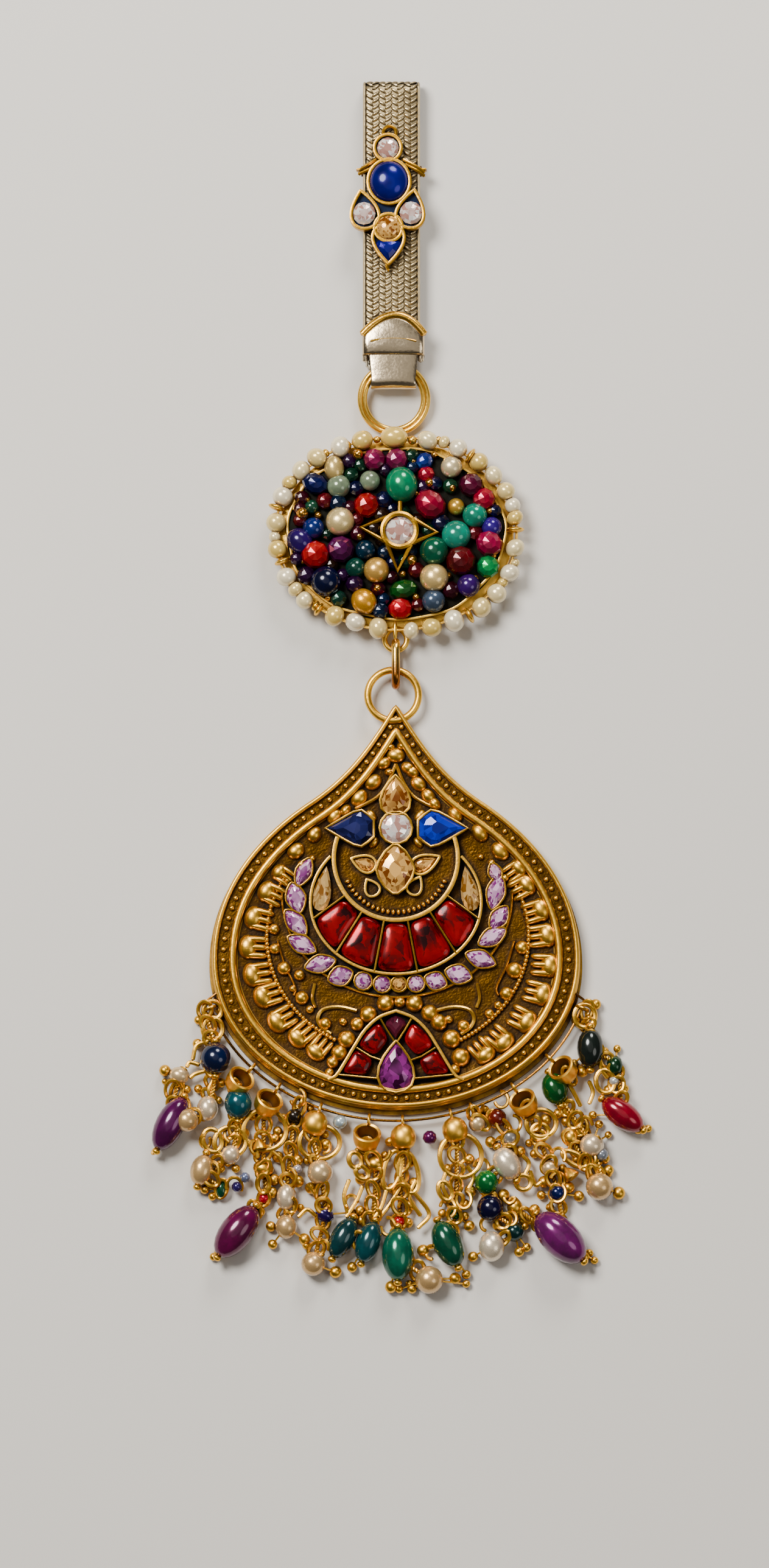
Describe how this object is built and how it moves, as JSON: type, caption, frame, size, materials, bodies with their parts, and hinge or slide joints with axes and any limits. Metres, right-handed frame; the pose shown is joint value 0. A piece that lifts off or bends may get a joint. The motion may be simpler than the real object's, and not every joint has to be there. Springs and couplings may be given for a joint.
{
  "type": "hair bun pin",
  "caption": "Hair ornament of a woven strap on a two-prong pin, with a jewelled setting, a ring, an oval bead cluster edged with pearls, and a gold drop pendant with a bead fringe.",
  "frame": {"origin": "on the flat back of the pendant, under its widest part, on the surface the piece lies on", "axes": "+Y from the fringe to the strap along the length, +Z away from the surface, out of the jewelled face"},
  "size_m": [0.0796, 0.1995, 0.0072],
  "materials": {
    "gold": "antique gold plating, dark in the recesses, bright on the ridges",
    "weave": "woven silver-toned wire, tarnished between the strands",
    "silver": "polished plate",
    "pearl": "pearl lustre",
    "field_beads": "polished beads of many colours",
    "rose": "cut",
    "crystal": "cut",
    "sapphire": "polished",
    "champagne": "polished",
    "amethyst": "cut",
    "ruby": "cut",
    "drop_beads": "polished beads, pearls and gold cups"
  },
  "bodies": {
    "root": {"bead_field": "field_beads", "bun_pin": "silver", "connecting_link": "gold", "drop_01": "drop_beads", "drop_02": "drop_beads", "drop_03": "drop_beads", "drop_04": "drop_beads", "drop_05": "drop_beads", "drop_06": "drop_beads", "drop_07": "drop_beads", "drop_08": "drop_beads", "drop_09": "drop_beads", "drop_10": "drop_beads", "drop_11": "drop_beads", "drop_12": "drop_beads", "fan_drop_stone": "amethyst", "fan_lower_left_stone": "ruby", "fan_lower_right_stone": "ruby", "fan_top_stone": "amethyst", "fan_upper_left_stone": "ruby", "fan_upper_right_stone": "ruby", "flower_left_stone": "sapphire", "flower_low_stone": "champagne", "flower_right_stone": "sapphire", "flower_stone": "crystal", "flower_top_stone": "champagne", "horn_left_stone": "champagne", "horn_right_stone": "champagne", "mesh_strap": "weave", "oval_frame": "gold", "pearl_rim": "pearl", "pendant": "gold", "rose_garland": "rose", "ruby_1": "ruby", "ruby_2": "ruby", "ruby_3": "ruby", "ruby_4": "ruby", "ruby_5": "ruby", "setting_blue_stone": "sapphire", "setting_frame": "gold", "setting_gold_stone": "champagne", "setting_left_crystal": "crystal", "setting_right_crystal": "crystal", "setting_tip_stone": "sapphire", "setting_top_crystal": "crystal", "star_bezel": "gold", "star_stone": "crystal", "strap_clip": "silver"}
  },
  "joints": []
}
